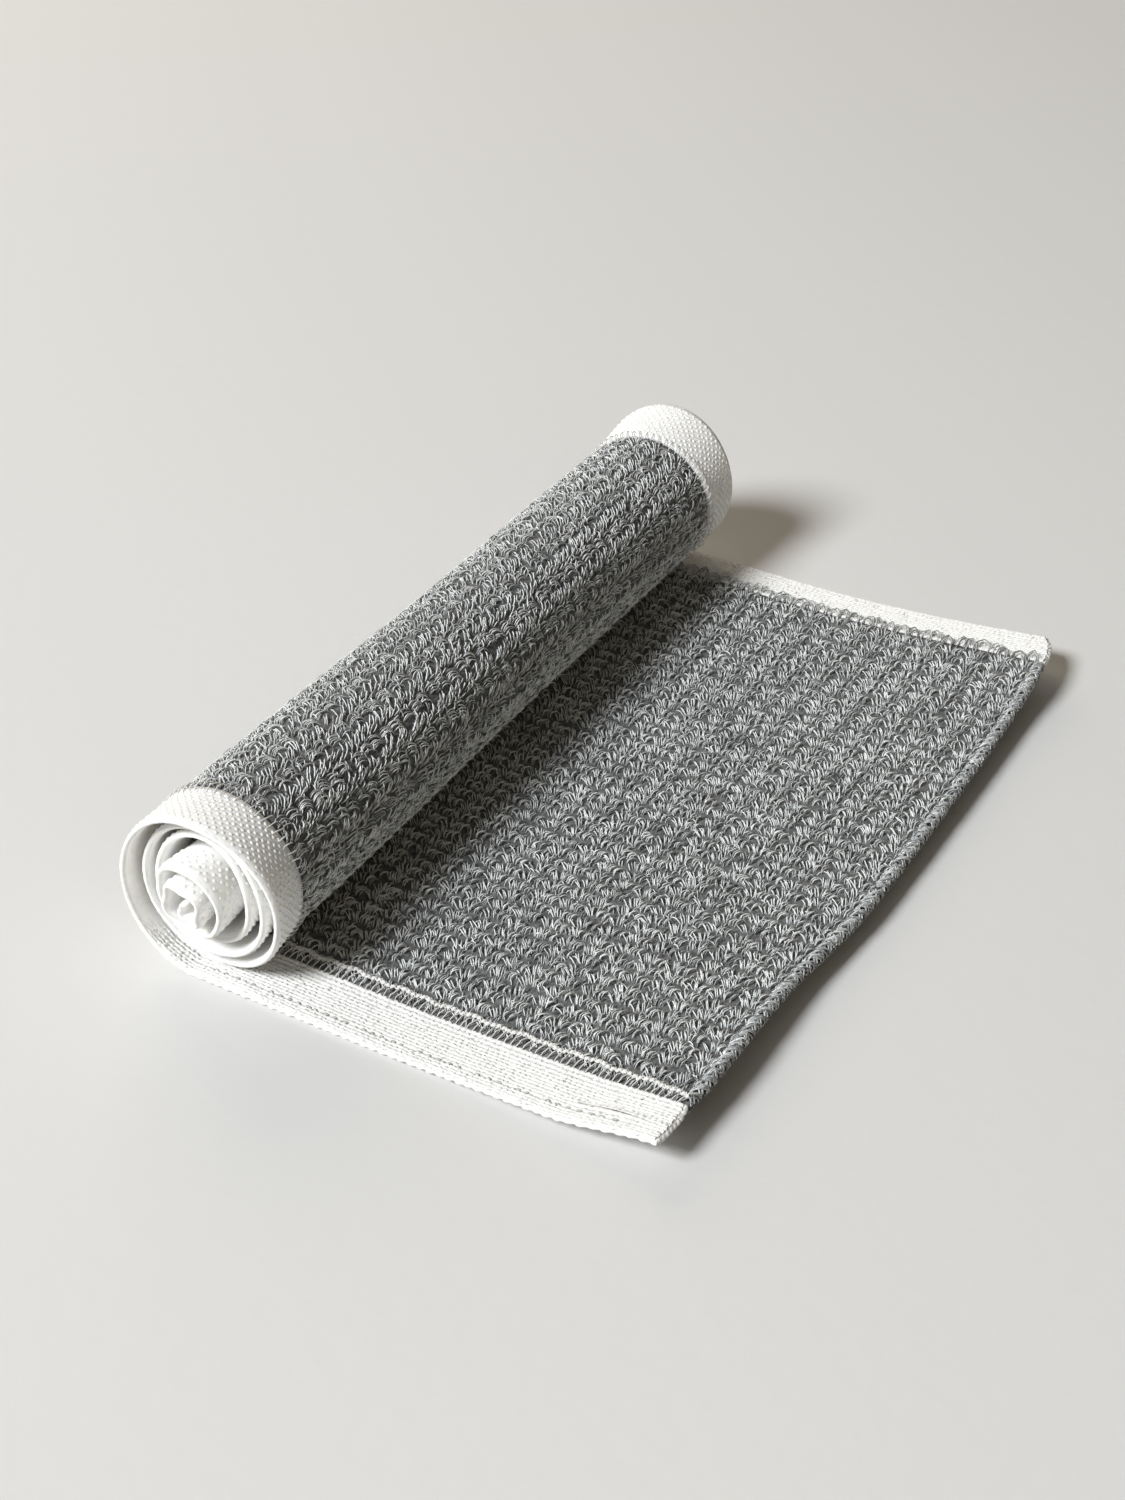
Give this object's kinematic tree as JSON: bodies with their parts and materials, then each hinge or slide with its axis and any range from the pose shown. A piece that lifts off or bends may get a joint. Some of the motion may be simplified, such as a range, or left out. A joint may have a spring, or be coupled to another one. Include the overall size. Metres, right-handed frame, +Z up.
{
  "type": "rolled body scrub towel",
  "caption": "Grey knitted body scrub towel with thin white mesh borders, rolled up with its last stretch lying open in front of the roll.",
  "frame": {"origin": "on the floor, under the middle of the whole towel's box", "axes": "+X along the roll towards its far end, -Y from the roll towards the open flap's free edge, +Z up"},
  "size_m": [0.248, 0.1546, 0.0452],
  "materials": {
    "grey_knit": "thick melange grey knit, matt",
    "white_mesh": "fine white mesh knit, matt"
  },
  "bodies": {
    "root": {"field": "grey_knit", "border_near": "white_mesh", "border_far": "white_mesh"}
  },
  "joints": []
}
